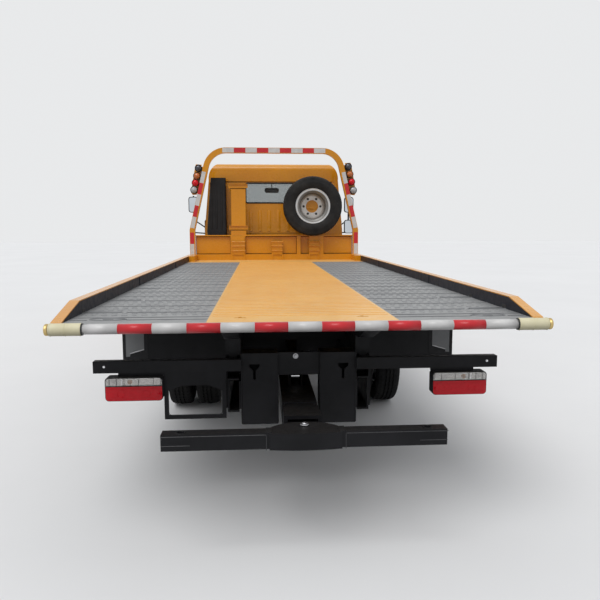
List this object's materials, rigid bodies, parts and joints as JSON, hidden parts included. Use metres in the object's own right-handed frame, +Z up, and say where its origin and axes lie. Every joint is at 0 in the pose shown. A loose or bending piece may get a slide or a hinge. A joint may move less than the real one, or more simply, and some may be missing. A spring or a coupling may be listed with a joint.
{
  "type": "flatbed tow truck",
  "caption": "Light flatbed tow truck with a tilting cab, a sliding and tilting bed, a guard arch with a spare wheel, and an underlift boom with a crossbar at the tail",
  "frame": {"origin": "on the floor under the middle of the truck's bounding box", "axes": "+X is the truck's right side, +Y is forward, +Z is up"},
  "size_m": [2.668, 7.5999, 2.5658],
  "materials": {
    "yellow_paint": "gloss",
    "black_paint": "satin",
    "deck_grey": "satin",
    "box_grey": "satin",
    "tape_white": "satin",
    "wheel_silver": "satin",
    "black_plastic": "matte",
    "cab_trim": "matte",
    "roller_cream": "matte",
    "lamp_red": "gloss",
    "lamp_clear": "gloss",
    "lamp_amber": "gloss",
    "axle_iron": "matte",
    "spring_steel": "matte",
    "rod_chrome": "polished",
    "tank_metal": "satin",
    "tyre_rubber": "matte",
    "seat_cloth": "matte",
    "window_glass": "clear"
  },
  "bodies": {
    "chassis": {"frame_rails": "black_paint", "subframe": "black_paint", "leaf_springs": "spring_steel", "front_axle": "axle_iron", "rear_axle": "axle_iron", "driveline": "axle_iron", "fuel_tank": "tank_metal", "service_boxes": "box_grey", "air_intake": "black_plastic", "front_bumper": "yellow_paint", "headlamps": "lamp_clear", "mudguards": "black_plastic", "side_guards": "black_paint", "lamp_bar": "black_paint", "tail_lamps": "lamp_red"},
    "cab": {"cab_shell": "yellow_paint", "cab_glass": "window_glass", "grille": "black_plastic", "dashboard": "cab_trim", "seat_bases": "cab_trim", "seats": "seat_cloth", "mirrors": "black_plastic"},
    "left_door": {"door_left": "yellow_paint", "door_glass_left": "window_glass"},
    "right_door": {"door_right": "yellow_paint", "door_glass_right": "window_glass"},
    "left_knuckle": {"knuckle_left": "axle_iron"},
    "right_knuckle": {"knuckle_right": "axle_iron"},
    "tie_rod": {"track_rod": "axle_iron"},
    "front_wheel_left": {"tyre_front_left": "tyre_rubber", "rim_front_left": "wheel_silver"},
    "front_wheel_right": {"tyre_front_right": "tyre_rubber", "rim_front_right": "wheel_silver"},
    "rear_wheels_left": {"tyres_rear_left": "tyre_rubber", "rims_rear_left": "wheel_silver"},
    "rear_wheels_right": {"tyres_rear_right": "tyre_rubber", "rims_rear_right": "wheel_silver"},
    "tilting_frame": {"tilt_frame": "black_paint"},
    "bed": {"bed_frame": "black_paint", "deck_sides": "deck_grey", "deck_centre": "yellow_paint", "side_rails": "yellow_paint", "tail_tube": "tape_white", "headboard": "yellow_paint", "guard_arch": "yellow_paint", "lamp_brackets": "yellow_paint", "arch_lamps": "lamp_amber", "spare_racks": "yellow_paint", "spare_tyre": "tyre_rubber", "spare_rim": "wheel_silver", "winch": "black_paint"},
    "left_roller": {"roller_left": "roller_cream"},
    "right_roller": {"roller_right": "roller_cream"},
    "bed_barrels": {"lift_barrels": "black_paint"},
    "bed_rods": {"lift_rods": "rod_chrome"},
    "outer_boom": {"lift_boom": "black_paint"},
    "sliding_boom": {"inner_boom": "black_paint"},
    "tow_bar": {"crossbar": "black_paint"},
    "underlift_barrel": {"boom_barrel": "black_paint"},
    "underlift_rod": {"boom_rod": "rod_chrome"}
  },
  "joints": [
    {"name": "cab_tilt", "type": "hinge", "parent": "chassis", "child": "cab", "pos_m": [0, 3.735, 0.61], "axis": [-1, 0, 0], "range_deg": [0, 45]},
    {"name": "left_door_swing", "type": "hinge", "parent": "cab", "child": "left_door", "pos_m": [-0.95, 3.467, 1.2], "axis": [0, 0, -1], "range_deg": [0, 70]},
    {"name": "right_door_swing", "type": "hinge", "parent": "cab", "child": "right_door", "pos_m": [0.95, 3.467, 1.2], "axis": [0, 0, 1], "range_deg": [0, 70]},
    {"name": "steer_left", "type": "hinge", "parent": "chassis", "child": "left_knuckle", "pos_m": [-0.66, 2.68, 0.3875], "axis": [0, 0, 1], "range_deg": [-35, 35]},
    {"name": "steer_right", "type": "hinge", "parent": "chassis", "child": "right_knuckle", "pos_m": [0.66, 2.68, 0.3875], "axis": [0, 0, 1], "range_deg": [-35, 35]},
    {"name": "track_rod_swing", "type": "hinge", "parent": "left_knuckle", "child": "tie_rod", "pos_m": [-0.66, 2.53, 0.2955], "axis": [0, 0, 1], "range_deg": [-35, 35]},
    {"name": "front_left_spin", "type": "hinge", "parent": "left_knuckle", "child": "front_wheel_left", "pos_m": [-0.8, 2.68, 0.3875], "axis": [1, 0, 0], "continuous": true},
    {"name": "front_right_spin", "type": "hinge", "parent": "right_knuckle", "child": "front_wheel_right", "pos_m": [0.8, 2.68, 0.3875], "axis": [1, 0, 0], "continuous": true},
    {"name": "rear_left_spin", "type": "hinge", "parent": "chassis", "child": "rear_wheels_left", "pos_m": [-0.76, -1.12, 0.3875], "axis": [1, 0, 0], "continuous": true},
    {"name": "rear_right_spin", "type": "hinge", "parent": "chassis", "child": "rear_wheels_right", "pos_m": [0.76, -1.12, 0.3875], "axis": [1, 0, 0], "continuous": true},
    {"name": "bed_tilt", "type": "hinge", "parent": "chassis", "child": "tilting_frame", "pos_m": [0, -3.19, 0.83], "axis": [1, 0, 0], "range_deg": [0, 15]},
    {"name": "bed_slide", "type": "slide", "parent": "tilting_frame", "child": "bed", "axis": [0, -1, 0], "range_m": [0, 3.4]},
    {"name": "left_roller_spin", "type": "hinge", "parent": "bed", "child": "left_roller", "pos_m": [-1.05, -3.718, 1.088], "axis": [1, 0, 0], "continuous": true},
    {"name": "right_roller_spin", "type": "hinge", "parent": "bed", "child": "right_roller", "pos_m": [1.05, -3.718, 1.088], "axis": [1, 0, 0], "continuous": true},
    {"name": "lift_barrel_swing", "type": "hinge", "parent": "chassis", "child": "bed_barrels", "pos_m": [0, -2.04, 0.64], "axis": [1, 0, 0], "range_deg": [0, 25]},
    {"name": "lift_rod_slide", "type": "slide", "parent": "bed_barrels", "child": "bed_rods", "axis": [0, 0.9832, 0.1826], "range_m": [0, 0.164]},
    {"name": "underlift_tilt", "type": "hinge", "parent": "chassis", "child": "outer_boom", "pos_m": [0, -1.99, 0.6], "axis": [1, 0, 0], "range_deg": [-5, 9]},
    {"name": "boom_slide", "type": "slide", "parent": "outer_boom", "child": "sliding_boom", "axis": [0, -1, 0], "range_m": [0, 0.8]},
    {"name": "crossbar_swivel", "type": "hinge", "parent": "sliding_boom", "child": "tow_bar", "pos_m": [0, -3.682, 0.583], "axis": [0, 0, 1], "range_deg": [-15, 15]},
    {"name": "boom_barrel_swing", "type": "hinge", "parent": "chassis", "child": "underlift_barrel", "pos_m": [0, -2.44, 0.78], "axis": [1, 0, 0], "range_deg": [-8.5, 15.2]},
    {"name": "boom_rod_slide", "type": "slide", "parent": "underlift_barrel", "child": "underlift_rod", "axis": [0, -0.9775, -0.2111], "range_m": [-0.029, 0.051]}
  ],
  "couplings": [
    {"joint": "steer_right", "follows": "steer_left", "ratio": 1},
    {"joint": "track_rod_swing", "follows": "steer_left", "ratio": -1},
    {"joint": "lift_barrel_swing", "follows": "bed_tilt", "ratio": 1.6533},
    {"joint": "lift_rod_slide", "follows": "bed_tilt", "m_per_rad": 0.6234},
    {"joint": "boom_barrel_swing", "follows": "underlift_tilt", "ratio": 1.6756},
    {"joint": "boom_rod_slide", "follows": "underlift_tilt", "m_per_rad": 0.3215}
  ]
}
